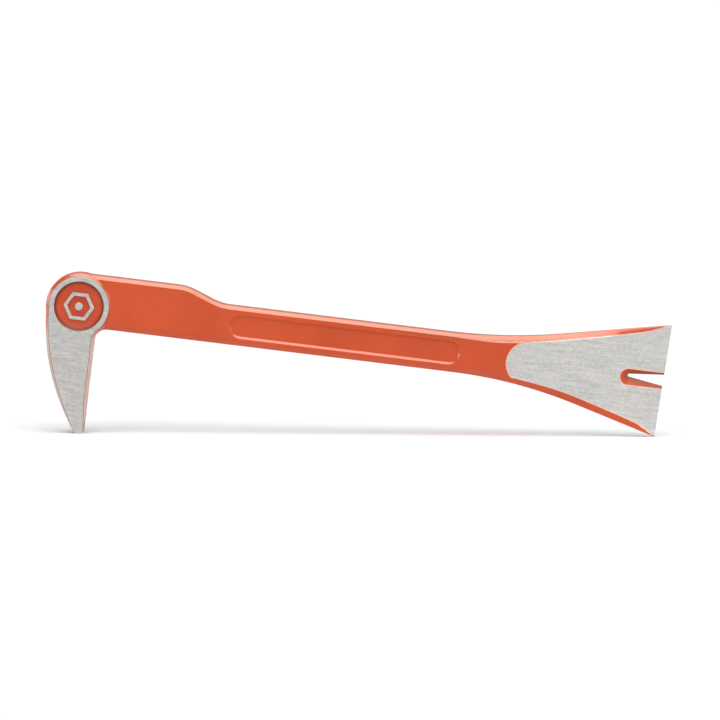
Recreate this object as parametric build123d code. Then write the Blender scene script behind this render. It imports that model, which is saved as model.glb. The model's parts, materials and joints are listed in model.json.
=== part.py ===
from build123d import *
import math
import os

os.makedirs("parts", exist_ok=True)

# A drop-forged pry bar. It is drawn lying straight, in millimetres: X runs from the round head towards
# the blade, Z points to the hammer face, and Y is the thickness, with the forging's parting
# line at Y = 0. Both sides are alike. At the end it is stood on its claw and the low corner of its blade.

# Head: a round boss with a raised ring about a recessed roundel
HEAD_RADIUS = 13.45
HEAD_CENTRE = (0.45, 0.5)
RIM_BEVEL = 1.2
ROUNDEL_RADIUS = 10.0
ROUNDEL_DEPTH = 1.4
FACE_HALF = 7.25             # ground face of head and claw, from the parting line
EMBLEM_RADIUS = 6.4          # corner of the hexagon relief
EMBLEM_STROKE = 1.5
EMBLEM_DOT = 1.7

# Neck and shank
BAR_HALF = 6.5
BAR_BOTTOM = -7.8
NECK_TOP = 13.65
SHANK_TOP = 8.15
SHOULDER_START = 43.0
SHOULDER_END = 57.5
SHOULDER_RADII = [19.0, 21.0]
TOP_BEVEL = 1.5
BOTTOM_BEVEL = 2.2
PANEL_START = 61.8
PANEL_END = 156.0
PANEL_HEIGHT = 9.5
PANEL_LIFT = 0.1
PANEL_DEPTH = 0.9
PANEL_WALL = 1.5             # run of the sloping wall about the panel

# Claw: its outer edge is one arc, its inner edge is straight
CLAW_ARC_CENTRE = (74.4, 1.5)
CLAW_ARC_RADIUS = 87.1
CLAW_INNER = 8.1
CLAW_BEVEL = 1.1
CLAW_TIP = (5.6, -51.0)
CLAW_RUN_OUT = -36.0         # the claw's bevels grow narrower from here to the tip
CLAW_BEVEL_LOSS = 0.85       # share of the bevel gone at the tip
CLAW_TRIM = 2.0              # forged length that is trimmed off the tip
CLAW_STATIONS = 8
CORNER_RADIUS = 4.8
NOTCH_MOUTH = 5.0
NOTCH_END = 1.4
NOTCH_DEPTH = 15.0

# Blade: each edge leaves the shank on an arc and runs on straight to the tip
BLADE_START = 149.0
TIP_TOP = (240.15, 21.85)
TIP_LOW = (238.6, -24.3)
TOP_FLARE = (149.0, 238.0, 11.6)     # where it starts, its radius, its angle at the tip
LOW_FLARE = (153.0, 194.6, 15.5)
TAPER_START = 160.0
TAPER_FULL = 175.0
TIP_HALF = 0.6
BLADE_BEVEL = 2.7
BEVEL_RUN_OUT = 230.0
BLADE_BEVEL_LOSS = 0.9               # share of the bevel gone at the tip
BLADE_TRIM = 3.0                     # forged length that is trimmed off the tip
BLADE_EDGE = 0.42                    # edge thickness as a share of the face thickness
GROUND_START = 175.2
GROUND_ARC_RADIUS = 8.7
GROUND_ARC_HEIGHT = -0.6
BLADE_STATIONS = 16

# Nail slot in the blade: a V in the parting plane whose walls spread towards both faces
SLOT_CENTRE = (225.4, -0.5)
SLOT_END_RADIUS = 0.6
SLOT_AXIS = -1.75
SLOT_HALF_ANGLE = 6.8
SLOT_LENGTH = 30.0                   # along its walls, to well past the tip
SLOT_SPREAD = 1.5                    # run of the wall for each millimetre of depth
SLOT_DROP = 0.35                     # extra run of the lower wall, taken from the upper

# Coat, and what is ground off the coated forging where it is bright
COAT = 0.15
GRINDING = 0.3

# Planes between the working regions
CLAW_LINE = -14.0
HEAD_LINE = 15.0
NECK_LINE = 60.0
SHANK_LINE = 160.0

FAR = 400.0                  # size of the blocks that cut
OVERRUN = 10.0               # how far a cut runs past what it cuts
NEAR = 0.01
CLEAR = 0.5                  # margins in choosing the edges to bevel
CORNER_CENTRE = (CLAW_INNER + CORNER_RADIUS, BAR_BOTTOM - CORNER_RADIUS)


def plate(edges, half):
    """A closed outline in the XZ plane, made solid to the same depth on both sides of Y = 0."""
    face = make_face(Plane.XZ * Curve(children=edges))
    return extrude(face, amount=half, both=True)


def bevel_leg(bevel, skin):
    """Leg of a 45 degree bevel once every face has moved in by the skin."""
    return bevel - skin * (2 - math.sqrt(2))


def both_sides(solid):
    """The solid and its mirror image in the parting plane."""
    return solid + mirror(solid, about=Plane.XZ)


def disc(radius, half, centre=HEAD_CENTRE):
    """A cylinder along Y, about the head's axis unless another is given."""
    x, z = centre
    return Pos(x, 0, z) * Cylinder(radius, 2 * half, rotation=(90, 0, 0))


def flare(x, start, radius, angle):
    """How far an edge has spread at x: an arc from the start, then its straight tangent."""
    run = x - start
    arc_run = radius * math.sin(math.radians(angle))
    if run <= 0:
        return 0.0
    if run < arc_run:
        return radius - math.sqrt(radius ** 2 - run ** 2)
    arc_rise = radius * (1 - math.cos(math.radians(angle)))
    return arc_rise + (run - arc_run) * math.tan(math.radians(angle))


def ease(x, start, end):
    """0 before the start, 1 after the end, smooth between."""
    t = min(max((x - start) / (end - start), 0.0), 1.0)
    return t * t * (3 - 2 * t)


# The blade's faces taper in a straight line from TAPER_FULL to the tip, after a short round run-in.
RUN_IN = TAPER_FULL - TAPER_START
TAPER = (BAR_HALF - TIP_HALF) / (TIP_TOP[0] - TAPER_FULL + RUN_IN / 2)


def face_half(x):
    """Half the thickness of the finished bar at x."""
    if x <= TAPER_START:
        return BAR_HALF
    if x <= TAPER_FULL:
        return BAR_HALF - TAPER * (x - TAPER_START) ** 2 / (2 * RUN_IN)
    return BAR_HALF - TAPER * (x - TAPER_FULL + RUN_IN / 2)


def blade_bevel(x, half, bevel):
    """Run and depth of a bevel at x: the shank's 45 degree bevel grows into the blade's flatter one."""
    spread = ease(x, BLADE_START, TAPER_FULL)
    run_out = 1 - BLADE_BEVEL_LOSS * ease(x, BEVEL_RUN_OUT, TIP_TOP[0])
    run = (bevel + (BLADE_BEVEL - bevel) * spread) * run_out
    depth = bevel + (half * (1 - BLADE_EDGE) - bevel) * spread
    return run, depth


def bevelled_section(edges, bevels, half, skin):
    """Eight corners of a section with a bevel at each edge of each face, as (thickness, along) pairs.

    Each edge is a place along the section, first the high one. Each bevel is its run over the face and
    its depth from the face.
    """
    corners = []
    for edge, side, (run, depth) in zip(edges, (1, -1), bevels):
        slope = math.hypot(run, depth)
        on_edge = (half - depth - skin * (slope - depth) / run, edge - side * skin)
        on_face = (half - skin, edge - side * (run + skin * (slope - run) / depth))
        corners += [on_edge, on_face]
    right = [corners[0], corners[1], corners[3], corners[2]]
    return right + [(-y, along) for y, along in reversed(right)]


def blade(skin):
    """The flared, tapering blade as forged, a little longer than its ground tip."""
    end = TIP_TOP[0] + BLADE_TRIM
    sections = []
    for i in range(BLADE_STATIONS + 1):
        x = BLADE_START + (end - BLADE_START) * i / BLADE_STATIONS
        half = face_half(x) + GRINDING * ease(x, TAPER_START, TAPER_FULL)
        edges = (SHANK_TOP + flare(x, *TOP_FLARE), BAR_BOTTOM - flare(x, *LOW_FLARE))
        bevels = [blade_bevel(x, half, bevel) for bevel in (TOP_BEVEL, BOTTOM_BEVEL)]
        corners = bevelled_section(edges, bevels, half, skin)
        sections.append(make_face(Polyline([Vector(x, y, z) for y, z in corners], close=True)))
    return loft(sections)


def bar(skin):
    """Neck and shank: a shoulder in the top edge, the claw's corner below, bevels along both edges."""
    top = NECK_TOP - skin
    shank = SHANK_TOP - skin
    low = BAR_BOTTOM + skin
    radius = CORNER_RADIUS + skin
    inner = CORNER_CENTRE[0] - radius
    shoulder = FilletPolyline(
        (0, top),
        (SHOULDER_START, top),
        (SHOULDER_END, shank),
        (BLADE_START, shank),
        radius=SHOULDER_RADII,
    )
    rest = [
        Line((BLADE_START, shank), (BLADE_START, low)),
        Line((BLADE_START, low), (CORNER_CENTRE[0], low)),
        CenterArc(CORNER_CENTRE, radius, 90, 90),
        Line((inner, CORNER_CENTRE[1]), (0, CORNER_CENTRE[1])),
        Line((0, CORNER_CENTRE[1]), (0, top)),
    ]
    solid = plate(list(shoulder.edges()) + rest, BAR_HALF - skin)

    def along(edge, lowest, highest):
        centre = edge @ 0.5
        on_face = abs(abs(centre.Y) - BAR_HALF + skin) < NEAR
        on_bar = CLEAR < centre.X < BLADE_START - CLEAR
        return on_face and on_bar and lowest - CLEAR < centre.Z < highest + CLEAR

    upper = solid.edges().filter_by(lambda e: along(e, shank, top))
    solid = chamfer(upper, bevel_leg(TOP_BEVEL, skin))
    lower = solid.edges().filter_by(lambda e: along(e, CORNER_CENTRE[1] + 2 * CLEAR, low))
    return chamfer(lower, bevel_leg(BOTTOM_BEVEL, skin))


def head_boss(skin):
    """The round head with its bevelled rim, kept clear of the hollow corner above the claw."""
    half = FACE_HALF + GRINDING - skin
    boss = disc(HEAD_RADIUS - skin, half)
    rims = boss.edges().filter_by(GeomType.CIRCLE)
    boss = chamfer(rims, bevel_leg(RIM_BEVEL + GRINDING, skin))
    return boss - disc(CORNER_RADIUS + skin, FAR, CORNER_CENTRE)


def claw_edge(z, skin=0):
    """Where the claw's outer edge lies at height z."""
    x, middle = CLAW_ARC_CENTRE
    return x - math.sqrt((CLAW_ARC_RADIUS - skin) ** 2 - (z - middle) ** 2)


def claw_root(skin):
    """The claw's upper end, under the head and round its inner corner."""
    z = CORNER_CENTRE[1]
    radius = CORNER_RADIUS + skin
    inner = CORNER_CENTRE[0] - radius
    corner = CenterArc(CORNER_CENTRE, radius, 180, -45)
    outer = ThreePointArc((claw_edge(0, skin), 0), (claw_edge(z / 2, skin), z / 2), (claw_edge(z, skin), z))
    edges = [
        outer,
        Line(outer @ 1, (inner, z)),
        corner,
        Line(corner @ 1, (0, 0)),
        Line((0, 0), outer @ 0),
    ]
    half = FACE_HALF + GRINDING - skin
    solid = plate(edges, half)
    on_face = solid.edges().filter_by(lambda e: abs(abs((e @ 0.5).Y) - half) < NEAR)
    curved = on_face.filter_by(GeomType.CIRCLE)
    return chamfer(curved, bevel_leg(CLAW_BEVEL + GRINDING, skin))


def claw(skin):
    """The claw as forged, longer than its ground tip: an arc outside, a straight edge inside."""
    top = CORNER_CENTRE[1]
    end = CLAW_TIP[1] - CLAW_TRIM
    half = FACE_HALF + GRINDING
    sections = []
    for i in range(CLAW_STATIONS + 1):
        z = top + (end - top) * i / CLAW_STATIONS
        narrowing = 1 - CLAW_BEVEL_LOSS * ease(-z, -CLAW_RUN_OUT, -end)
        leg = (CLAW_BEVEL + GRINDING) * narrowing
        corners = bevelled_section((CLAW_INNER, claw_edge(z)), [(leg, leg)] * 2, half, skin)
        sections.append(make_face(Polyline([Vector(x, y, z) for y, x in corners], close=True)))
    return claw_root(skin) + loft(sections)


def roundels(skin):
    """What the roundels hollow out of both sides of the head."""
    floor = FACE_HALF - ROUNDEL_DEPTH - skin
    hole = disc(ROUNDEL_RADIUS + skin, FAR)
    return hole - Box(FAR, 2 * floor, FAR)


def panels(skin):
    """The long shallow panels in the shank: round ends, flat floor, sloping walls."""
    wall = math.hypot(PANEL_WALL, PANEL_DEPTH)
    widening = 2 * skin * (wall - PANEL_WALL) / PANEL_DEPTH
    straight = PANEL_END - PANEL_START - PANEL_HEIGHT
    middle = (PANEL_START + PANEL_END) / 2
    outlines = []
    for y, height in ((BAR_HALF, PANEL_HEIGHT), (BAR_HALF - PANEL_DEPTH, PANEL_HEIGHT - 2 * PANEL_WALL)):
        place = Plane((middle, skin - y, PANEL_LIFT), x_dir=(1, 0, 0), z_dir=(0, -1, 0))
        outlines.append(place * SlotCenterToCenter(straight, height + widening))
    hollow = loft(outlines, ruled=True)
    return both_sides(hollow + extrude(outlines[0], amount=PANEL_DEPTH))


def slot_outline(radius, drop, y):
    """A V with a round inner end, open past the blade's tip, at one depth from the parting plane."""
    x, z = SLOT_CENTRE
    z -= drop
    starts, ends = [], []
    for side in (1, -1):
        angle = math.radians(SLOT_AXIS + side * SLOT_HALF_ANGLE)
        start = (x - side * radius * math.sin(angle), z + side * radius * math.cos(angle))
        starts.append(start)
        ends.append((start[0] + SLOT_LENGTH * math.cos(angle), start[1] + SLOT_LENGTH * math.sin(angle)))
    axis = math.radians(SLOT_AXIS)
    inner = (x - radius * math.cos(axis), z - radius * math.sin(axis))
    edges = [
        ThreePointArc(starts[0], inner, starts[1]),
        Line(starts[1], ends[1]),
        Line(ends[1], ends[0]),
        Line(ends[0], starts[0]),
    ]
    return Pos(0, y, 0) * make_face(Plane.XZ * Curve(children=edges))


def nail_slot(skin):
    """The V slot through the blade, narrow at the parting plane, its walls spreading to each face."""
    depth = BAR_HALF
    radius = SLOT_END_RADIUS + skin * math.hypot(1, SLOT_SPREAD)
    narrow = slot_outline(radius, 0, 0)
    wide = slot_outline(radius + SLOT_SPREAD * depth, SLOT_DROP * depth, -depth)
    return both_sides(loft([narrow, wide], ruled=True))


def claw_notch(skin):
    """The V notch between the claw's two tines, cut through from its outer to its inner edge."""
    tip = CLAW_TIP[1]
    radius = NOTCH_END / 2 + skin
    mouth = NOTCH_MOUTH / 2 + skin
    top = tip + NOTCH_DEPTH
    below = mouth + (mouth - radius) / NOTCH_DEPTH * OVERRUN
    corners = [(-radius, top), (radius, top), (below, tip - OVERRUN), (-below, tip - OVERRUN)]
    outline = Polygon(*corners, align=None) + Pos(0, top) * Circle(radius)
    return extrude(Plane.YZ * outline, amount=FAR / 4, both=True)


def forging(skin):
    """The whole bar before grinding, every surface moved in by the skin."""
    solid = bar(skin) + blade(skin) + head_boss(skin) + claw(skin)
    return solid - roundels(skin) - panels(skin) - nail_slot(skin) - claw_notch(skin)


# The bar stands on its claw's tip and its blade's low corner, so its axis leans by this much.
TILT = math.degrees(math.atan2(TIP_LOW[1] - CLAW_TIP[1], TIP_LOW[0] - CLAW_TIP[0]))


def beyond_tip():
    """Everything past the blade's tip edge."""
    lean = math.degrees(math.atan2(TIP_TOP[0] - TIP_LOW[0], TIP_TOP[1] - TIP_LOW[1]))
    block = Box(FAR, FAR, FAR, align=(Align.MIN, Align.CENTER, Align.CENTER))
    middle = Pos((TIP_TOP[0] + TIP_LOW[0]) / 2, 0, (TIP_TOP[1] + TIP_LOW[1]) / 2)
    return middle * Rot(0, lean, 0) * block


def below_claw():
    """Everything under the floor that the claw stands on."""
    block = Box(FAR / 4, FAR, FAR, align=(Align.CENTER, Align.CENTER, Align.MAX))
    return Pos(CLAW_TIP[0], 0, CLAW_TIP[1]) * Rot(0, -TILT, 0) * block


def blade_faces():
    """What grinding takes off the blade: all outside its flat taper, from an arc at the shank to the tip."""
    start = GROUND_START - OVERRUN
    end = TIP_TOP[0] + OVERRUN
    near, far = [TAPER * (x - TAPER_FULL + RUN_IN / 2) - BAR_HALF for x in (start, end)]
    depth = -2 * OVERRUN
    profile = Polygon((start, near), (start, depth), (end, depth), (end, far), align=None)
    wedge = extrude(profile, amount=FAR, both=True)
    x = GROUND_START + GROUND_ARC_RADIUS
    reach = disc(GROUND_ARC_RADIUS, FAR, (x, GROUND_ARC_HEIGHT))
    reach += Pos(x, 0, 0) * Box(FAR, FAR, FAR, align=(Align.MIN, Align.CENTER, Align.CENTER))
    return both_sides(wedge & reach)


def side_faces():
    """What grinding takes off the claw, the ring and the relief: all outside one flat plane a side."""
    block = Box(FAR, FAR, FAR, align=(Align.CENTER, Align.MAX, Align.CENTER))
    return both_sides(Pos(0, -FACE_HALF, 0) * block)


def emblem():
    """The relief in the roundel: a hexagon frame round a dot, standing on the roundel's floor."""
    inner = EMBLEM_RADIUS - EMBLEM_STROKE / math.cos(math.radians(30))
    outline = RegularPolygon(EMBLEM_RADIUS, 6) - RegularPolygon(inner, 6) + Circle(EMBLEM_DOT)
    floor = FACE_HALF - ROUNDEL_DEPTH - COAT
    x, z = HEAD_CENTRE
    place = Plane((x, -floor, z), x_dir=(1, 0, 0), z_dir=(0, -1, 0))
    return extrude(place * outline, amount=FACE_HALF - floor)


REGIONS = {
    "claw": (-FAR, HEAD_LINE, -FAR, CLAW_LINE),
    "head": (-FAR, HEAD_LINE, CLAW_LINE, FAR),
    "neck": (HEAD_LINE, NECK_LINE, -FAR, FAR),
    "shank": (NECK_LINE, SHANK_LINE, -FAR, FAR),
    "blade": (SHANK_LINE, FAR, -FAR, FAR),
}

coated = forging(0) - beyond_tip() - below_claw()
steel = forging(COAT) - beyond_tip() - below_claw() - blade_faces() - side_faces()
coat = coated - blade_faces() - side_faces() - steel
front_emblem = emblem()
nodes = {"front_emblem": front_emblem, "rear_emblem": mirror(front_emblem, about=Plane.XZ)}
coat = coat - nodes["front_emblem"] - nodes["rear_emblem"]
for name, (x0, x1, z0, z1) in REGIONS.items():
    space = Pos((x0 + x1) / 2, 0, (z0 + z1) / 2) * Box(x1 - x0, FAR, z1 - z0)
    nodes[name] = steel & space
    nodes[name + "_coat"] = coat & space

# Stand the bar up, and put the origin on the floor under the middle of its bounding box.
standing = {name: Rot(0, TILT, 0) * solid for name, solid in nodes.items()}
boxes = [solid.bounding_box() for solid in standing.values()]
lowest, highest = min(b.min.Z for b in boxes), max(b.max.Z for b in boxes)
left, right = min(b.min.X for b in boxes), max(b.max.X for b in boxes)
place = Pos(-(left + right) / 2, 0, -lowest)
for name, solid in standing.items():
    export_step(place * solid, f"parts/{name}.step")
print(f"tilt {TILT:.3f} degrees, {right - left:.2f} mm long, {highest - lowest:.2f} mm high")
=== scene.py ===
import bpy
import json
import math
from mathutils import Matrix, Vector


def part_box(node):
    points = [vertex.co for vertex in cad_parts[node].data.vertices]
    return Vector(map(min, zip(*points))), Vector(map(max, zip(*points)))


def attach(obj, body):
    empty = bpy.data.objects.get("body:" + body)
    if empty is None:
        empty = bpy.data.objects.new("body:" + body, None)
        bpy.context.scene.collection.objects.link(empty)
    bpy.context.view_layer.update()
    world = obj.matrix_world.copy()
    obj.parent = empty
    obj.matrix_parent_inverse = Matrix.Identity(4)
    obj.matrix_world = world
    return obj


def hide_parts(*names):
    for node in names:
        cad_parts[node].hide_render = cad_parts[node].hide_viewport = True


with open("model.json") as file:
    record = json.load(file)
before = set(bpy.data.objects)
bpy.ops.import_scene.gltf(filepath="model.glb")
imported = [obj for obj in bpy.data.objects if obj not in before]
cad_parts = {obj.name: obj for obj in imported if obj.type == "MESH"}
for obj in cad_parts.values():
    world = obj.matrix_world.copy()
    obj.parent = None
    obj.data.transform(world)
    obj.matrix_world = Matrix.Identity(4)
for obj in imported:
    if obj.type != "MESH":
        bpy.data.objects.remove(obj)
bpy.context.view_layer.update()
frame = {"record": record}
scene = bpy.context.scene

# ---------------------------------------------------------------- studio
# The bar stands on white paper in a white room. A large lamp overhead and in front lights it and throws
# the soft shadow, and a warm one overhead only makes the bright reflections in the upper bevels.
scene.view_settings.view_transform = "Standard"

room = bpy.data.worlds.new("white_room")
room.use_nodes = True
room_tree = room.node_tree
walls = room_tree.nodes["Background"]
walls.inputs["Color"].default_value = (1.0, 1.0, 1.0, 1)
walls.inputs["Strength"].default_value = 0.45
backdrop = room_tree.nodes.new("ShaderNodeBackground")
backdrop.inputs["Color"].default_value = (1.0, 1.0, 1.0, 1)
backdrop.inputs["Strength"].default_value = 1.05
seen = room_tree.nodes.new("ShaderNodeLightPath")
either = room_tree.nodes.new("ShaderNodeMixShader")
room_tree.links.new(seen.outputs["Is Camera Ray"], either.inputs["Fac"])
room_tree.links.new(walls.outputs["Background"], either.inputs[1])
room_tree.links.new(backdrop.outputs["Background"], either.inputs[2])
room_tree.links.new(either.outputs["Shader"], room_tree.nodes["World Output"].inputs["Surface"])
scene.world = room

bpy.ops.object.light_add(type="SUN", location=(0, -0.1, 1))
lamp = bpy.context.object
lamp.name = "overhead_lamp"
lamp.rotation_euler = (math.radians(28), 0, 0)
lamp.data.energy = 2.2
lamp.data.angle = math.radians(60)

bpy.ops.object.light_add(type="SUN", location=(0, -0.1, 1))
glint = bpy.context.object
glint.name = "overhead_glint"
glint.rotation_euler = (math.radians(3), math.radians(13), 0)
glint.data.energy = 6.4
glint.data.angle = math.radians(64)
glint.data.color = (1.0, 0.92, 0.76)
glint.visible_diffuse = False

# white boards standing at both ends light the bevels that face along the bar: name, turn, strength
boards = (("left_board", -86, 2.6), ("right_board", 86, 1.6))
for name, turn, energy in boards:
    bpy.ops.object.light_add(type="SUN", location=(0, -0.1, 1))
    board = bpy.context.object
    board.name = name
    board.rotation_euler = (0, math.radians(turn), 0)
    board.data.energy = energy
    board.data.angle = math.radians(46)
    board.visible_diffuse = False

bpy.ops.mesh.primitive_plane_add(size=60, location=(0, 0, 0))
floor = bpy.context.object
floor.name = "floor"
paper = bpy.data.materials.new("white_paper")
paper.use_nodes = True
sheet = paper.node_tree.nodes["Principled BSDF"]
sheet.inputs["Base Color"].default_value = (0.91, 0.945, 0.95, 1)
sheet.inputs["Emission Color"].default_value = (1.0, 1.0, 1.0, 1)
sheet.inputs["Emission Strength"].default_value = 0.06
sheet.inputs["Roughness"].default_value = 0.95
sheet.inputs["Specular IOR Level"].default_value = 0.1
floor.data.materials.append(paper)

# ---------------------------------------------------------------- camera
# Square on to the bar's side, a little above it, with a long lens.
elevation = math.radians(4.0)
distance = 2.4
roll = math.radians(0.47)
view_width = 0.29247                     # metres across the view, at the bar
sensor = 36
target = Vector((0.0004, 0, 0.0304))

bpy.ops.object.camera_add()
camera = bpy.context.object
camera.name = "camera"
camera.location = target + distance * Vector((0, -math.cos(elevation), math.sin(elevation)))
look = (target - camera.location).to_track_quat("-Z", "Y").to_matrix()
camera.rotation_euler = (look @ Matrix.Rotation(roll, 3, "Z")).to_euler()
camera.data.sensor_width = sensor
camera.data.lens = sensor * distance / view_width
scene.camera = camera

# ---------------------------------------------------------------- neck, shank and blade
# One drop forging in carbon steel: from the head down a shoulder to the shank, then flared and thinned
# into the blade. It is drawn lying straight, in millimetres, X along it from the head, Z towards the
# hammer face and Y its thickness, and is stood up when it is finished.
bar_half = 6.5
bar_bottom = -7.8
neck_top = 13.65
shank_top = 8.15
shoulder_start = 43.0                    # where the straight edges and the slope between would meet
shoulder_end = 57.5
shoulder_radii = (19.0, 21.0)
top_bevel = 1.5
bottom_bevel = 2.2
corner_radius = 4.8
claw_inner = 8.1
corner_centre = Vector((claw_inner + corner_radius, 0, bar_bottom - corner_radius))
corner_sweep = (175, 90)                 # degrees round the inside corner, where the sections fan out
corner_steps = 7
mid_neck = 26.0
level_until = 20.0                       # the top edge is level as far as here
shoulder_sections = (shoulder_start - 4, shoulder_end + 5, 28)  # from, to and how many
mid_shank = 105.0
blade_start = 149.0
top_flare = (149.0, 238.0, 11.6)         # where it starts, its radius, its angle at the tip
low_flare = (153.0, 194.6, 15.5)
taper_start = 160.0
taper_full = 175.0
tip_x = 240.15
tip_half = 0.6
blade_overrun = 3
blade_steps = 31
blade_bevel = 2.7
low_bevel_broader = 0.8
low_bevel_broadens = (180, 205)
bevel_run_out = 230.0
bevel_left_over = 0.1
edge_soft = (0.55, 0.4, 1.6, 2.2)        # radii of the corners, the top bevel's first
sharper_blade = 0.8
blade_edge = 0.42
grinding = 0.3
film = 0.15                              # thickness of the powder coat
run_in = taper_full - taper_start
taper = (bar_half - tip_half) / (tip_x - taper_full + run_in / 2)


def ease(x, start, end):
    """0 before the start, 1 after the end, smooth between."""
    t = min(max((x - start) / (end - start), 0.0), 1.0)
    return t * t * (3 - 2 * t)


def flare(x, start, radius, angle):
    """How far an edge has spread at x: an arc from the start, then its straight tangent."""
    run = x - start
    arc_run = radius * math.sin(math.radians(angle))
    if run <= 0:
        return 0.0
    if run < arc_run:
        return radius - math.sqrt(radius ** 2 - run ** 2)
    arc_rise = radius * (1 - math.cos(math.radians(angle)))
    return arc_rise + (run - arc_run) * math.tan(math.radians(angle))


def top_edge(x):
    """Height of the bar's top edge at x: level along the neck, down the shoulder, then out to the tip."""
    slope = math.atan2(neck_top - shank_top, shoulder_end - shoulder_start)
    crest, foot = (radius * math.tan(slope / 2) for radius in shoulder_radii)
    if x <= shoulder_start - crest:
        return neck_top
    if x <= shoulder_start + crest * math.cos(slope):
        radius = shoulder_radii[0]
        return neck_top - radius + math.sqrt(radius ** 2 - (x - shoulder_start + crest) ** 2)
    if x <= shoulder_end - foot * math.cos(slope):
        return shank_top + (shoulder_end - x) * math.tan(slope)
    if x <= shoulder_end + foot:
        radius = shoulder_radii[1]
        return shank_top + radius - math.sqrt(radius ** 2 - (shoulder_end + foot - x) ** 2)
    return shank_top + flare(x, *top_flare)


def forged_half(x):
    """Half the thickness of the forging at x, with what the blade's grinding takes off still on."""
    if x <= taper_start:
        return bar_half
    if x <= taper_full:
        half = bar_half - taper * (x - taper_start) ** 2 / (2 * run_in)
    else:
        half = bar_half - taper * (x - taper_full + run_in / 2)
    return half + grinding * ease(x, taper_start, taper_full)


def rounded(corners, radii, steps=3):
    """A closed outline with its corners rounded off. A corner whose radius is 0 stays sharp."""
    points = []
    for i, (corner, radius) in enumerate(zip(corners, radii)):
        if radius == 0:
            points.append(corner.copy())
            continue
        before = corners[i - 1] - corner
        after = corners[(i + 1) % len(corners)] - corner
        half = before.angle(after) / 2
        leg = min(radius / math.tan(half), 0.4 * before.length, 0.4 * after.length)
        first = corner + before.normalized() * leg
        last = corner + after.normalized() * leg
        inward = (before.normalized() + after.normalized()).normalized()
        centre = corner + inward * (leg / math.cos(half))
        reach = (first - centre).length
        for step in range(steps + 1):
            towards = (first - centre).slerp(last - centre, step / steps)
            points.append(centre + towards.normalized() * reach)
    return points


def bevelled_section(low, high, bevels, half, skin, radii):
    """Eight rounded corners about the line from low to high, with a bevel at each edge of each face.

    Each bevel is its run over the face and its depth from the face, first the high one. Every surface
    is moved in by the skin. The radii are those of the high edge's two corners, then the low edge's.
    """
    length = (high - low).length
    along = (high - low) / length
    corners = []
    for edge, side, (run, depth) in zip((length, 0), (1, -1), bevels):
        slope = math.hypot(run, depth)
        on_edge = (half - depth - skin * (slope - depth) / run, edge - side * skin)
        on_face = (half - skin, edge - side * (run + skin * (slope - run) / depth))
        corners += [on_edge, on_face]
    right = [corners[0], corners[1], corners[3], corners[2]]
    right_radii = [radii[0], radii[1], radii[3], radii[2]]
    outline = right + [(-y, s) for y, s in reversed(right)]
    points = [low + along * s + Vector((0, y, 0)) for y, s in outline]
    return rounded(points, right_radii + list(reversed(right_radii)))


def loft(name, rings):
    """A closed solid through rings of points, each ring extruded from the one before."""
    bpy.ops.object.select_all(action="DESELECT")
    bpy.ops.mesh.primitive_circle_add(vertices=len(rings[0]), fill_type="NGON")
    solid = bpy.context.object
    solid.name = name
    mesh = solid.data
    for vertex, point in zip(mesh.vertices, rings[0]):
        vertex.co = point
    bpy.ops.object.mode_set(mode="EDIT")
    bpy.ops.mesh.select_all(action="SELECT")
    bpy.ops.object.mode_set(mode="OBJECT")
    place = {tuple(vertex.co): i for i, vertex in enumerate(mesh.vertices)}
    for ring in rings[1:]:
        bpy.ops.object.mode_set(mode="EDIT")
        bpy.ops.mesh.extrude_region_move(TRANSFORM_OT_translate={"value": (0, 0, 0)})
        bpy.ops.object.mode_set(mode="OBJECT")
        cap = [vertex for vertex in mesh.vertices if vertex.select]
        order = [place[tuple(vertex.co)] for vertex in cap]
        for vertex, i in zip(cap, order):
            vertex.co = ring[i]
        place = {tuple(vertex.co): i for vertex, i in zip(cap, order)}
    bpy.ops.object.mode_set(mode="EDIT")
    bpy.ops.mesh.select_all(action="SELECT")
    bpy.ops.mesh.normals_make_consistent(inside=False)
    bpy.ops.object.mode_set(mode="OBJECT")
    return solid


def spaced(start, end, count):
    """So many places from start to end, evenly spaced, without the end itself."""
    return [start + (end - start) * i / count for i in range(count)]


def bar_and_blade(skin):
    """Neck, shank and blade in one, from under the head to past the blade's ground tip."""
    stations = []
    first, last = corner_sweep
    for angle in spaced(first, last, corner_steps):
        turn = math.radians(angle)
        low = corner_centre + corner_radius * Vector((math.cos(turn), 0, math.sin(turn)))
        stations.append((low, Vector((corner_centre.x * (first - angle) / (first - last), 0, neck_top))))
    past_tip = tip_x + blade_overrun
    places = [corner_centre.x, mid_neck] + spaced(*shoulder_sections)
    places += [shoulder_sections[1], mid_shank, blade_start]
    places += spaced(blade_start + blade_overrun, past_tip, blade_steps) + [past_tip]
    for x in places:
        low = bar_bottom - flare(x, *low_flare)
        stations.append((Vector((x, 0, low)), Vector((x, 0, top_edge(x)))))
    rings = []
    for low, high in stations:
        x = high.x
        half = forged_half(x)
        slope = top_edge(x + 0.5) - top_edge(x - 0.5) if x > level_until else 0.0
        lean = math.cos(math.atan(slope))
        spread = ease(x, blade_start, taper_full)
        run_out = 1 - (1 - bevel_left_over) * ease(x, bevel_run_out, tip_x)
        broader = low_bevel_broader * ease(x, *low_bevel_broadens)
        bevels = []
        for bevel, extra in ((top_bevel / lean, 0), (bottom_bevel, broader)):
            run = (bevel + (blade_bevel + extra - bevel) * spread) * run_out
            depth = bevel + (half * (1 - blade_edge) - bevel) * spread
            bevels.append((run, depth))
        soft = 1 - sharper_blade * spread
        radii = (*edge_soft[:2], edge_soft[2] * soft, edge_soft[3] * soft)
        rings.append(bevelled_section(low, high, bevels, half, skin, radii))
    return loft("bar", rings)


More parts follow.
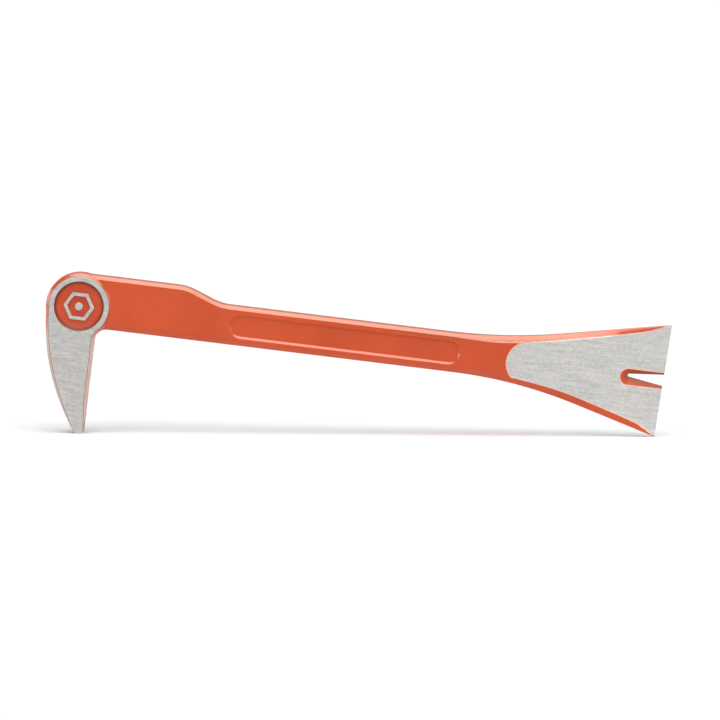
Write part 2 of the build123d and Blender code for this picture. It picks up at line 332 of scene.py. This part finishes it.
# ---------------------------------------------------------------- claw
# The nail claw, forged in one with the bar and bent down from the head: an arc outside, a straight edge
# inside that turns the corner into the shank. Its bevels grow narrower towards the tip.
claw_arc = (74.4, 1.5, 87.1)             # centre x, centre z, radius
claw_bevel = 1.1
claw_tip = Vector((5.6, 0, -51.0))
claw_trim = 2.0
claw_steps = 14
claw_fan = (180, 126, 6)                 # degrees round the inside corner, and how many sections
claw_fan_rise = 0.26                     # of the outer edge, for each of those degrees
claw_narrows = (36.0, 0.85)              # how far down the bevels start to narrow, and by how much
claw_soft = (0.5, 0.4, 0.6, 0.4)
face_half = 7.25                         # ground face of head and claw, from the middle


def claw(skin):
    """The claw from past its ground tip up to the corner, then round the corner into the head."""
    def outer(z):
        x, middle, radius = claw_arc
        return Vector((x - math.sqrt(radius ** 2 - (z - middle) ** 2), 0, z))

    stations = []
    for z in spaced(claw_tip.z - claw_trim, corner_centre.z, claw_steps):
        stations.append((Vector((claw_inner, 0, z)), outer(z)))
    for angle in spaced(*claw_fan):
        turn = math.radians(angle)
        inner = corner_centre + corner_radius * Vector((math.cos(turn), 0, math.sin(turn)))
        stations.append((inner, outer(corner_centre.z + (claw_fan[0] - angle) * claw_fan_rise)))
    half = face_half + grinding
    narrow_from, narrow_by = claw_narrows
    rings = []
    for inner, edge in stations:
        narrowing = 1 - narrow_by * ease(-inner.z, narrow_from, -claw_tip.z + claw_trim)
        leg = (claw_bevel + grinding) * narrowing
        rings.append(bevelled_section(inner, edge, [(leg, leg)] * 2, half, skin, claw_soft))
    return loft("claw", rings)


# ---------------------------------------------------------------- head
# A round boss for striking, forged in one with the neck. A ring stands about a sunk roundel on each side,
# and its rim is bevelled.
head_radius = 13.45
head_centre = Vector((0.45, 0, 0.5))     # in the straight bar's space
rim_bevel = 1.2
rim_soft = (0, 0.3, 0.7, 0.7, 0.3, 0)
proud = 0.05                             # of the claw, so that the two join cleanly before grinding
roundel_radius = 10.0
roundel_depth = 1.4
foot_soft = 0.5
circle_steps = 96


def circle(radius, y, centre=head_centre):
    """Points round an axis along Y, the head's unless another centre is given."""
    turns = [2 * math.pi * i / circle_steps for i in range(circle_steps)]
    return [centre + Vector((radius * math.cos(t), y, radius * math.sin(t))) for t in turns]


def turned(name, profile, radii):
    """A solid turned about the head's axis from corners given as (radius, y). It starts and ends flat."""
    corners = rounded([Vector((r, y, 0)) for r, y in profile], radii)
    return loft(name, [circle(p.x, p.y) for p in corners if p.x > 0])


def head(skin):
    """The boss with its bevelled and softened rim."""
    radius = head_radius - skin
    half = face_half + grinding + proud - skin
    leg = rim_bevel + grinding + proud - skin * (2 - math.sqrt(2))
    profile = [(0, -half), (radius - leg, -half), (radius, leg - half), (radius, half - leg),
               (radius - leg, half), (0, half)]
    return turned("head", profile, rim_soft)


# ---------------------------------------------------------------- what is sunk and cut into the forging
# Roundels in the head, long shallow panels in the shank that the dies press in, the nail slot in the
# blade and the notch between the claw's two tines.
panel_start = 61.8
panel_end = 156.0
panel_height = 9.5
panel_lift = 0.1
panel_depth = 0.9
half_circle_steps = 24
slot_centre = (225.4, -0.5)
slot_end_radius = 0.6
slot_axis = -1.75
slot_half_angle = 6.8
slot_spread = 1.5
slot_drop = 0.35
slot_steps = 16
notch_mouth = 5.0
notch_end = 1.4
notch_depth = 15.0
notch_steps = 12
beyond = 30.0                            # where the cutting tools end, well clear of the steel


def combine(body, tool, operation):
    """Adds the tool to the body, or cuts it away, and removes it."""
    bpy.ops.object.select_all(action="DESELECT")
    bpy.context.view_layer.objects.active = body
    body.select_set(True)
    cut = body.modifiers.new(operation.lower(), "BOOLEAN")
    cut.operation = operation
    cut.solver = "EXACT"
    cut.object = tool
    bpy.ops.object.modifier_apply(modifier=cut.name)
    bpy.data.objects.remove(tool)


def roundel(skin, side):
    """What the roundel hollows out of one side of the head."""
    floor_y = face_half - roundel_depth - skin
    radius = roundel_radius + skin
    outside = side * beyond
    profile = [(0, outside), (radius, outside), (radius, side * floor_y), (0, side * floor_y)]
    return turned("roundel", profile, (0, 0, foot_soft, 0))


def panel(skin, side):
    """What the panel hollows out of one side of the shank: a soft lip, a steep wall, a round foot."""
    if skin:
        profile = [(-0.75, -0.5), (-0.75, 0.0), (0.75, panel_depth + skin)]
    else:
        profile = [(-0.3, -0.5), (-0.3, 0.0), (-0.12, 0.03), (0.0, 0.09), (0.08, 0.16), (0.72, 0.77),
                   (0.84, 0.84), (0.96, 0.88), (1.1, panel_depth)]
    rings = []
    for inset, depth in profile:
        radius = panel_height / 2 - inset
        ring = []
        for end, first in ((panel_end - panel_height / 2, -90), (panel_start + panel_height / 2, 90)):
            for step in range(half_circle_steps + 1):
                turn = math.radians(first + 180 * step / half_circle_steps)
                ring.append(Vector((end + radius * math.cos(turn), side * (bar_half - depth),
                                    panel_lift + radius * math.sin(turn))))
        rings.append(ring)
    return loft("panel", rings)


def nail_slot(skin):
    """The V slot, narrow in the middle of the blade, its walls spreading towards each face."""
    rings = []
    for y in (-bar_half, 0.0, bar_half):
        radius = slot_end_radius + skin * math.hypot(1, slot_spread) + slot_spread * abs(y)
        x, z = slot_centre
        z -= slot_drop * abs(y)
        ring = []
        for step in range(slot_steps + 1):
            turn = math.radians(90 + slot_half_angle + slot_axis
                                + (180 - 2 * slot_half_angle) * step / slot_steps)
            ring.append(Vector((x + radius * math.cos(turn), y, z + radius * math.sin(turn))))
        for side, start in ((-1, ring[-1]), (1, ring[0])):
            wall = math.radians(slot_axis + side * slot_half_angle)
            ring.append(start + beyond * Vector((math.cos(wall), 0, math.sin(wall))))
        rings.append(ring)
    return loft("nail_slot", rings)


def claw_notch(skin):
    """The V notch between the tines, cut right through from the claw's outer to its inner edge."""
    radius = notch_end / 2 + skin
    mouth = notch_mouth / 2 + skin
    below = 10.0
    foot = mouth + (mouth - radius) / notch_depth * below
    rings = []
    for x in (-beyond, beyond):
        ring = []
        for step in range(notch_steps + 1):
            turn = math.pi * step / notch_steps
            ring.append(Vector((x, radius * math.cos(turn), claw_tip.z + notch_depth
                                + radius * math.sin(turn))))
        ring += [Vector((x, -foot, claw_tip.z - below)), Vector((x, foot, claw_tip.z - below))]
        rings.append(ring)
    return loft("claw_notch", rings)


def forging(skin):
    """The whole bar before grinding, every surface moved in by the skin."""
    boss = head(skin)
    corner = [circle(corner_radius + skin, y, corner_centre) for y in (-beyond, beyond)]
    combine(boss, loft("corner", corner), "DIFFERENCE")
    body = bar_and_blade(skin)
    combine(body, claw(skin), "UNION")
    combine(body, boss, "UNION")
    for side in (-1, 1):
        combine(body, roundel(skin, side), "DIFFERENCE")
        combine(body, panel(skin, side), "DIFFERENCE")
    combine(body, nail_slot(skin), "DIFFERENCE")
    combine(body, claw_notch(skin), "DIFFERENCE")
    return body


# ---------------------------------------------------------------- grinding
# After coating, the blade, the claw, the ring about the roundel and both tips are ground bright on a belt,
# which cuts through the coat and leaves its edge as a thin line.
tip_top = Vector((240.15, 0, 21.85))
tip_low = Vector((238.6, 0, -24.3))
ground_start = 175.2
ground_arc_radius = 8.7
ground_arc_height = -0.6
tip_corners = ((4.95, -51.07, 26, 0.3), (8.1, -50.71, -42, 0.5))  # x, z, turn, depth of each soft one
past_blade = 270
past_edges = 60
upright = frame["record"]["mounts"][0]["axis"]
tilt = math.atan2(upright[0], upright[2])


def block(name, corner_low, corner_high):
    """A plain block to cut with."""
    bpy.ops.object.select_all(action="DESELECT")
    low, high = Vector(corner_low), Vector(corner_high)
    bpy.ops.mesh.primitive_cube_add(size=1)
    solid = bpy.context.object
    solid.name = name
    for vertex in solid.data.vertices:
        vertex.co = low + Vector([a * b for a, b in zip(vertex.co + Vector((0.5, 0.5, 0.5)), high - low)])
    return solid


def turn_about(solid, point, angle):
    """Turns a solid about the Y direction through a point."""
    solid.data.transform(Matrix.Translation(point) @ Matrix.Rotation(angle, 4, "Y")
                         @ Matrix.Translation(-point))


def grind(body, deeper):
    """Takes off what the belt takes, and a little more for the coat, which lies below the bright face."""
    half = face_half - deeper
    for side in (-1, 1):
        near, far = sorted((side * half, side * beyond))
        combine(body, block("side_face", (-40, near, -80), (40, far, 40)), "DIFFERENCE")
        straight_from = ground_start + ground_arc_radius
        outline = [Vector((past_blade, 0, past_edges)), Vector((straight_from, 0, past_edges))]
        for step in range(half_circle_steps + 1):
            turn = math.radians(90 + 180 * step / half_circle_steps)
            outline.append(Vector((ground_start + ground_arc_radius * (1 + math.cos(turn)), 0,
                                   ground_arc_height + ground_arc_radius * math.sin(turn))))
        outline += [Vector((straight_from, 0, -past_edges)), Vector((past_blade, 0, -past_edges))]
        faces = []
        for point in outline:
            y = bar_half - taper * (point.x - taper_full + run_in / 2) - deeper
            faces.append(Vector((point.x, side * y, point.z)))
        backs = [Vector((point.x, side * beyond, point.z)) for point in outline]
        combine(body, loft("blade_face", [faces, backs]), "DIFFERENCE")
    lean = math.atan2(tip_top.x - tip_low.x, tip_top.z - tip_low.z)
    past = block("past_tip", (tip_low.x - deeper, -beyond, -100), (tip_low.x + past_edges, beyond, 100))
    turn_about(past, tip_low, lean)
    combine(body, past, "DIFFERENCE")
    below = block("below_claw", (-past_edges, -beyond, -90), (past_edges, beyond, claw_tip.z + deeper))
    turn_about(below, claw_tip, -tilt)
    combine(body, below, "DIFFERENCE")
    for x, z, turn, depth in tip_corners:
        corner = Vector((x, 0, z))
        past = block("past_corner", (x - 9, -beyond, z - 9), (x + 9, beyond, z + depth + deeper))
        turn_about(past, corner, math.radians(turn))
        combine(body, past, "DIFFERENCE")


below_bright = 0.03                      # how far the coat's cut edge lies below the bright steel
steel_body = forging(film)
grind(steel_body, 0.0)
steel_body.name = "steel_body"
coat_body = forging(0.0)
grind(coat_body, below_bright)
coat_body.name = "coat_body"
solid_steel = steel_body.copy()
solid_steel.data = steel_body.data.copy()
scene.collection.objects.link(solid_steel)
combine(coat_body, solid_steel, "DIFFERENCE")

# ---------------------------------------------------------------- finishes
# Two finishes cover the bar: a gloss powder coat in orange red, and the bright steel that the belt leaves.
# Patterns are laid in the bar's own straight space, in millimetres, so that they follow the tool.
emblem_low, emblem_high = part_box("front_emblem")
head_place = Vector(((emblem_low.x + emblem_high.x) / 2, 0, (emblem_low.z + emblem_high.z) / 2))
bar_origin = head_place - Matrix.Rotation(tilt, 3, "Y") @ head_centre / 1000
millimetre = 0.001


def new_material(name):
    """A material with a node tree, and its Principled shader."""
    material = bpy.data.materials.new(name)
    material.use_nodes = True
    return material, material.node_tree, material.node_tree.nodes["Principled BSDF"]


def bar_space(tree):
    """Object coordinates turned back into the straight bar's space, in millimetres."""
    place = tree.nodes.new("ShaderNodeTexCoord")
    mapping = tree.nodes.new("ShaderNodeMapping")
    mapping.vector_type = "TEXTURE"
    mapping.inputs["Location"].default_value = bar_origin
    mapping.inputs["Rotation"].default_value = (0, tilt, 0)
    mapping.inputs["Scale"].default_value = (millimetre, millimetre, millimetre)
    tree.links.new(place.outputs["Object"], mapping.inputs["Vector"])
    return mapping.outputs["Vector"]


def worked(tree, operation, first, second):
    """A Math node on two sockets or numbers."""
    node = tree.nodes.new("ShaderNodeMath")
    node.operation = operation
    for socket, value in zip(node.inputs, (first, second)):
        if isinstance(value, bpy.types.NodeSocket):
            tree.links.new(value, socket)
        else:
            socket.default_value = value
    return node.outputs["Value"]


def noise(tree, vector, scale, detail=2.0, roughness=0.5, distortion=0.0):
    """A Noise Texture at a scale, as a value from 0 to 1."""
    node = tree.nodes.new("ShaderNodeTexNoise")
    tree.links.new(vector, node.inputs["Vector"])
    node.inputs["Scale"].default_value = scale
    node.inputs["Detail"].default_value = detail
    node.inputs["Roughness"].default_value = roughness
    node.inputs["Distortion"].default_value = distortion
    return node.outputs["Fac"]


def stepped(tree, value, start, end, low=0.0, high=1.0):
    """The value spread smoothly from low at the start to high at the end."""
    node = tree.nodes.new("ShaderNodeMapRange")
    node.interpolation_type = "SMOOTHSTEP"
    tree.links.new(value, node.inputs["Value"])
    for name, number in (("From Min", start), ("From Max", end), ("To Min", low), ("To Max", high)):
        node.inputs[name].default_value = number
    return node.outputs["Result"]


def mixed(tree, mask, first, second):
    """A colour mixed from two by a mask."""
    node = tree.nodes.new("ShaderNodeMix")
    node.data_type = "RGBA"
    tree.links.new(mask, node.inputs["Factor"])
    for socket, value in ((node.inputs[6], first), (node.inputs[7], second)):
        if isinstance(value, bpy.types.NodeSocket):
            tree.links.new(value, socket)
        else:
            socket.default_value = (*value, 1)
    return node.outputs[2]


def bumped(tree, height, distance, strength=1.0):
    """A Bump node on a height from 0 to 1 that stands for so many metres."""
    node = tree.nodes.new("ShaderNodeBump")
    node.inputs["Strength"].default_value = strength
    node.inputs["Distance"].default_value = distance
    tree.links.new(height, node.inputs["Height"])
    return node


def reach_from(tree, place, centre):
    """How far a place lies from an axis across the bar."""
    from_axis = tree.nodes.new("ShaderNodeVectorMath")
    from_axis.operation = "MULTIPLY_ADD"
    tree.links.new(place, from_axis.inputs[0])
    from_axis.inputs[1].default_value = (1, 0, 1)
    from_axis.inputs[2].default_value = -centre
    reach = tree.nodes.new("ShaderNodeVectorMath")
    reach.operation = "LENGTH"
    tree.links.new(from_axis.outputs["Vector"], reach.inputs[0])
    return reach.outputs["Value"]


def group(name, inputs, outputs):
    """A shader node group with named sockets, and its input and output nodes."""
    tree = bpy.data.node_groups.new(name, "ShaderNodeTree")
    for socket, kind, value in inputs:
        made = tree.interface.new_socket(socket, in_out="INPUT", socket_type=kind)
        if value is not None:
            made.default_value = value
    for socket, kind in outputs:
        tree.interface.new_socket(socket, in_out="OUTPUT", socket_type=kind)
    return tree, tree.nodes.new("NodeGroupInput"), tree.nodes.new("NodeGroupOutput")


def use_group(tree, made, vector, **values):
    """The group placed in a material, with its vector linked and its numbers set."""
    node = tree.nodes.new("ShaderNodeGroup")
    node.node_tree = made
    tree.links.new(vector, node.inputs["Place"])
    for name, value in values.items():
        node.inputs[name.replace("_", " ")].default_value = value
    return node


# Belt marks: fine strokes along X, wandering a little, over broader ones and faint blotches.
belt_marks, take, give = group(
    "belt_marks",
    [("Place", "NodeSocketVector", None), ("Length", "NodeSocketFloat", 12.0),
     ("Width", "NodeSocketFloat", 0.35), ("Wander", "NodeSocketFloat", 1.0),
     ("Arch", "NodeSocketFloat", 0.0)],
    [("Marks", "NodeSocketFloat"), ("Blotches", "NodeSocketFloat")])
split = belt_marks.nodes.new("ShaderNodeSeparateXYZ")
belt_marks.links.new(take.outputs["Place"], split.inputs["Vector"])
wander = worked(belt_marks, "SUBTRACT", noise(belt_marks, take.outputs["Place"], 0.07, 1.0), 0.5)
wander = worked(belt_marks, "MULTIPLY", wander, take.outputs["Wander"])
bow = worked(belt_marks, "POWER", split.outputs["X"], 2.0)
bow = worked(belt_marks, "MULTIPLY", bow, take.outputs["Arch"])
across = worked(belt_marks, "ADD", worked(belt_marks, "ADD", split.outputs["Z"], wander), bow)
layers = []
for longer, wider, seed in ((1.0, 1.0, 0.0), (2.2, 3.5, 40.0)):
    stroke = belt_marks.nodes.new("ShaderNodeCombineXYZ")
    length = worked(belt_marks, "MULTIPLY", take.outputs["Length"], longer)
    width = worked(belt_marks, "MULTIPLY", take.outputs["Width"], wider)
    belt_marks.links.new(worked(belt_marks, "DIVIDE", split.outputs["X"], length), stroke.inputs["X"])
    side = worked(belt_marks, "SIGN", split.outputs["Y"], 0.0)
    belt_marks.links.new(worked(belt_marks, "ADD", worked(belt_marks, "MULTIPLY", side, 9.0), seed),
                         stroke.inputs["Y"])
    belt_marks.links.new(worked(belt_marks, "DIVIDE", across, width), stroke.inputs["Z"])
    layers.append(noise(belt_marks, stroke.outputs["Vector"], 1.0, 3.0, 0.6))
marks = worked(belt_marks, "ADD", worked(belt_marks, "MULTIPLY", layers[0], 0.6),
               worked(belt_marks, "MULTIPLY", layers[1], 0.4))
belt_marks.links.new(stepped(belt_marks, marks, 0.3, 0.7), give.inputs["Marks"])
blotches = noise(belt_marks, take.outputs["Place"], 0.9, 4.0, 0.7)
belt_marks.links.new(stepped(belt_marks, blotches, 0.35, 0.65), give.inputs["Blotches"])


def bright_steel(name, length, width, wander_by, arch, light, dark):
    """Ground carbon steel: brushed by the belt, a little uneven in colour and gloss."""
    material, tree, shader = new_material(name)
    place = bar_space(tree)
    belt = use_group(tree, belt_marks, place, Length=length, Width=width, Wander=wander_by, Arch=arch)
    tone = worked(tree, "MULTIPLY", belt.outputs["Marks"], 0.68)
    tone = worked(tree, "ADD", tone, worked(tree, "MULTIPLY", belt.outputs["Blotches"], 0.32))
    tree.links.new(mixed(tree, tone, dark, light), shader.inputs["Base Color"])
    tree.links.new(stepped(tree, belt.outputs["Marks"], 0.0, 1.0, 0.34, 0.46), shader.inputs["Roughness"])
    shader.inputs["Metallic"].default_value = 1.0
    bump = bumped(tree, belt.outputs["Marks"], 0.000012, 0.6)
    tree.links.new(bump.outputs["Normal"], shader.inputs["Normal"])
    return material


blade_tones = ((0.80, 0.77, 0.75), (0.48, 0.465, 0.452))  # the lightest and the darkest
claw_tones = ((0.73, 0.70, 0.675), (0.435, 0.42, 0.405))
blade_steel = bright_steel("lengthwise_steel", 9.0, 0.36, 2.5, 0.0, *blade_tones)
claw_steel = bright_steel("crosswise_steel", 5.0, 0.45, 2.0, 0.02, *claw_tones)

# Powder coat: orange red, glossy, with a faint orange peel. Along the upper bevel of the shank the
# trimmed flash has left a rough brown line.
powder_coat, tree, shader = new_material("powder_coat")
paint = (0.56, 0.060, 0.006)
paint_lighter = (0.62, 0.071, 0.009)
paint_in_pits = (0.55, 0.054, 0.005)
paint_on_flash = (0.24, 0.05, 0.012)
pale_arc_colour = (0.86, 0.42, 0.30)
# painted shade at the foot of the roundel's wall
roundel_painted_shade = (0.26, 0.022, 0.005)
# painted sheen on the claw's bevels
claw_bevel_painted_sheen = (0.62, 0.42, 0.36)
# painted shade in the depth of the nail slot
slot_painted_shade = (0.34, 0.058, 0.016)
place = bar_space(tree)
split = tree.nodes.new("ShaderNodeSeparateXYZ")
tree.links.new(place, split.inputs["Vector"])
peel = noise(tree, place, 0.8, 2.0, 0.5)
grain = noise(tree, place, 5.0, 2.0, 0.6)
drift = noise(tree, place, 0.045, 2.0, 0.5)
base = mixed(tree, stepped(tree, drift, 0.35, 0.65), paint, paint_lighter)
base = mixed(tree, stepped(tree, peel, 0.35, 0.7, 0.0, 0.25), base, paint_in_pits)
run = worked(tree, "MAXIMUM", worked(tree, "SUBTRACT", split.outputs["X"], top_flare[0]), 0.0)
edge = worked(tree, "DIVIDE", worked(tree, "POWER", run, 2.0), 2 * top_flare[1])
edge = worked(tree, "ADD", edge, shank_top)
down = worked(tree, "SUBTRACT", edge, split.outputs["Z"])
ragged = worked(tree, "SUBTRACT", noise(tree, place, 1.3, 4.0, 0.75), 0.5)
ragged = worked(tree, "ADD", down, worked(tree, "MULTIPLY", ragged, 2.6))
line = worked(tree, "MULTIPLY", stepped(tree, ragged, 1.3, 1.6), stepped(tree, ragged, 2.4, 2.0))
line = worked(tree, "MULTIPLY", line, stepped(tree, down, 2.6, 2.1))
line = worked(tree, "MULTIPLY", line, stepped(tree, split.outputs["X"], 118.0, 132.0))
line = worked(tree, "MULTIPLY", line, stepped(tree, split.outputs["X"], 215.0, 185.0))
breaks = stepped(tree, noise(tree, place, 1.1, 3.0, 0.6), 0.42, 0.56, 0.0, 0.8)
line = worked(tree, "MULTIPLY", line, breaks)
base = mixed(tree, line, base, paint_on_flash)
# along the arc where the belt began on the blade, the coat is painted in a thin pale line
arc_centre = Vector((ground_start + ground_arc_radius, 0, ground_arc_height))
reach = reach_from(tree, place, arc_centre)
pale_edge = worked(tree, "MULTIPLY", stepped(tree, reach, ground_arc_radius + 0.5, ground_arc_radius + 0.3),
                   stepped(tree, split.outputs["X"], arc_centre.x - 2.5, arc_centre.x - 5))
pale_edge = worked(tree, "MULTIPLY", pale_edge,
                   stepped(tree, reach, ground_arc_radius - 1, ground_arc_radius - 0.5))
pale_edge = worked(tree, "MULTIPLY", pale_edge, stepped(tree, split.outputs["Z"], -7.6, -6.8))
base = mixed(tree, pale_edge, base, pale_arc_colour)
# painted shade: the coat is darkened in a ring at the foot of the roundel's wall, where the wall shades the
# roundel's floor
reach = reach_from(tree, place, head_centre)
corner = stepped(tree, reach, roundel_radius - 1.6, roundel_radius - 0.1)
corner = worked(tree, "MULTIPLY", corner, stepped(tree, reach, roundel_radius + 1, roundel_radius + 0.3))
base = mixed(tree, corner, base, roundel_painted_shade)
# painted sheen: the coat on the claw's bevels is painted a paler pinkish grey, standing for the white room
# reflected in them
claw_bevel_sheen_mask = worked(tree, "MULTIPLY", stepped(tree, split.outputs["X"], 15, 11),
              stepped(tree, split.outputs["Z"], -4, -14))
from_middle = worked(tree, "ABSOLUTE", split.outputs["Y"], 0.0)
claw_bevel_sheen_mask = worked(tree, "MULTIPLY", claw_bevel_sheen_mask, stepped(tree, from_middle, face_half - 1.6, face_half - 1.0))
base = mixed(tree, claw_bevel_sheen_mask, base, claw_bevel_painted_sheen)
# painted shade: the coat is darkened towards the depth of the nail slot, where its walls shade it
off_slot = worked(tree, "ABSOLUTE", worked(tree, "SUBTRACT", split.outputs["Z"], -1.0), 0.0)
in_slot = worked(tree, "MULTIPLY", stepped(tree, split.outputs["X"], 214, 220),
                 stepped(tree, off_slot, 6.5, 5.5))
slot_shade_mask = stepped(tree, from_middle, 1.8, 0.2)
base = mixed(tree, worked(tree, "MULTIPLY", in_slot, slot_shade_mask), base, slot_painted_shade)
tree.links.new(base, shader.inputs["Base Color"])
gloss = stepped(tree, grain, 0.2, 0.8, 0.25, 0.36)
dull = worked(tree, "MAXIMUM", line, in_slot)
gloss = worked(tree, "ADD", gloss, worked(tree, "MULTIPLY", dull, 0.35))
tree.links.new(gloss, shader.inputs["Roughness"])
shader.inputs["Coat Weight"].default_value = 0.2
shader.inputs["Specular IOR Level"].default_value = 0.38
shader.inputs["Coat Roughness"].default_value = 0.22
peel_bump = bumped(tree, peel, 0.00003, 0.35)
unevenness = worked(tree, "SUBTRACT", worked(tree, "MULTIPLY", grain, 0.15), line)
rough_bump = bumped(tree, unevenness, 0.00005, 0.6)
tree.links.new(peel_bump.outputs["Normal"], rough_bump.inputs["Normal"])
tree.links.new(rough_bump.outputs["Normal"], shader.inputs["Normal"])

# Where the belt has cut through the coat, its edge is a thin, paler line.
cut_coat, tree, shader = new_material("cut_coat_edge")
cut_pale = ((0.86, 0.48, 0.36), (0.90, 0.66, 0.56))
cut_dark = (0.24, 0.13, 0.10)            # near the claw
chalk = noise(tree, bar_space(tree), 1.2, 3.0, 0.6)
pale = mixed(tree, stepped(tree, chalk, 0.3, 0.7), *cut_pale)
split = tree.nodes.new("ShaderNodeSeparateXYZ")
tree.links.new(bar_space(tree), split.inputs["Vector"])
pale = mixed(tree, stepped(tree, split.outputs["X"], 20, 40), cut_dark, pale)
tree.links.new(pale, shader.inputs["Base Color"])
shader.inputs["Roughness"].default_value = 0.6

# ---------------------------------------------------------------- regions of the finished bar
# Steel and coat are parted at the planes between claw, head, neck, shank and blade, stood up, and each
# takes the place of its node.
regions = {
    "claw": ((-100, 15), (-100, -14)),
    "head": ((-100, 15), (-14, 100)),
    "neck": ((15, 60), (-100, 100)),
    "shank": ((60, 160), (-100, 100)),
    "blade": ((160, 400), (-100, 100)),
}


head_end = 30
close = 0.005
flat_enough = 0.99


def on_ground_plane(point, lowered):
    """True where a place in the bar's space lies on a ground face that is lowered by so much."""
    depth = abs(point.y) + lowered
    if point.x < head_end:
        return abs(depth - face_half) < close
    if point.x < ground_start - 1:
        return False
    return abs(depth - (bar_half - taper * (point.x - taper_full + run_in / 2))) < close


def stand_up(piece):
    """Brings a piece from the straight bar's millimetres to its place, and settles its shading."""
    bpy.ops.object.select_all(action="DESELECT")
    bpy.context.view_layer.objects.active = piece
    piece.select_set(True)
    piece.scale = (millimetre, millimetre, millimetre)
    piece.rotation_euler = (0, tilt, 0)
    piece.location = bar_origin
    bpy.ops.object.transform_apply(location=True, rotation=True, scale=True)
    bpy.ops.object.shade_smooth_by_angle(angle=math.radians(30))
    even = piece.modifiers.new("even", "WEIGHTED_NORMAL")
    even.keep_sharp = True
    even.weight = 80
    bpy.ops.object.modifier_apply(modifier=even.name)


def part_off(body, name, limits):
    """A copy of the body within one region."""
    (x0, x1), (z0, z1) = limits
    piece = body.copy()
    piece.data = body.data.copy()
    piece.name = name
    scene.collection.objects.link(piece)
    combine(piece, block("region", (x0, -50, z0), (x1, 50, z1)), "INTERSECT")
    return piece


for region, limits in regions.items():
    piece = part_off(steel_body, region + "_steel", limits)
    piece.data.materials.append(blade_steel if region in ("blade", "shank") else claw_steel)
    stand_up(piece)
    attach(piece, "root")
    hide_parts(region)

    piece = part_off(coat_body, region + "_powder_coat", limits)
    piece.data.materials.append(powder_coat)
    piece.data.materials.append(cut_coat)
    for face in piece.data.polygons:
        flat = abs(face.normal.y) > flat_enough
        face.material_index = 1 if flat and on_ground_plane(face.center, below_bright) else 0
    stand_up(piece)
    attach(piece, "root")
    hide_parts(region + "_coat")

for body in (steel_body, coat_body):
    bpy.data.objects.remove(body)

# ---------------------------------------------------------------- emblems
# A plain hexagon about a dot, forged standing on each roundel's floor, coated with the rest and ground
# bright on top. It stands in for the maker's device.
emblem_radius = 6.4
emblem_stroke = 1.5
emblem_dot = 1.7
emblem_floor = face_half - roundel_depth - film
emblem_foot = 0.12                       # broader at its foot
emblem_edge = ((0.0, 0.25), (0.03, 0.08), (0.1, 0.0))  # softening of its ground edge: in, and down
emblem_corner = 0.7
inner_corner = 0.5


def relief(name, side):
    """A hexagon frame and a dot, standing on the roundel's floor, with softened tops."""
    bpy.ops.object.select_all(action="DESELECT")
    top = side * face_half

    def post(radius, sides, name):
        turns = [2 * math.pi * i / sides for i in range(sides)]
        corners = [Vector((radius * math.cos(t), 0, radius * math.sin(t))) for t in turns]
        soft = rounded(corners, [emblem_corner] * sides, 4) if sides == 6 else corners
        levels = [(-emblem_foot, side * emblem_floor)]
        levels += [(inset, top - side * drop) for inset, drop in emblem_edge]
        rings = []
        for inset, y in levels:
            up = Vector((0, y, 0))
            rings.append([p * ((p.length - inset) / p.length) + head_centre + up for p in soft])
        return loft(name, rings)

    frame_post = post(emblem_radius, 6, name)
    inner = emblem_radius - emblem_stroke / math.cos(math.radians(30))
    turns = [2 * math.pi * i / 6 for i in range(6)]
    corners = [Vector((inner * math.cos(t), 0, inner * math.sin(t))) for t in turns]
    soft = rounded(corners, [inner_corner] * 6, 4)
    levels = [(-emblem_foot, side * (emblem_floor - 1)), (-emblem_foot, side * emblem_floor)]
    levels += [(grow, top - side * drop) for grow, drop in emblem_edge]
    levels.append((0.2, top + side * 1))
    rings = []
    for grow, y in levels:
        up = Vector((0, y, 0))
        rings.append([p * ((p.length + grow) / p.length) + head_centre + up for p in soft])
    combine(frame_post, loft("inside", rings), "DIFFERENCE")
    combine(frame_post, post(emblem_dot, 32, "dot"), "UNION")
    return frame_post


for name, side in (("front_emblem", -1), ("rear_emblem", 1)):
    piece = relief(name + "_relief", side)
    piece.data.materials.append(claw_steel)
    piece.data.materials.append(powder_coat)
    for face in piece.data.polygons:
        ground = abs(face.normal.y) > 0.95 and abs(face.center.y) > emblem_floor + 0.5
        face.material_index = 0 if ground else 1
    stand_up(piece)
    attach(piece, "root")
    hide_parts(name)
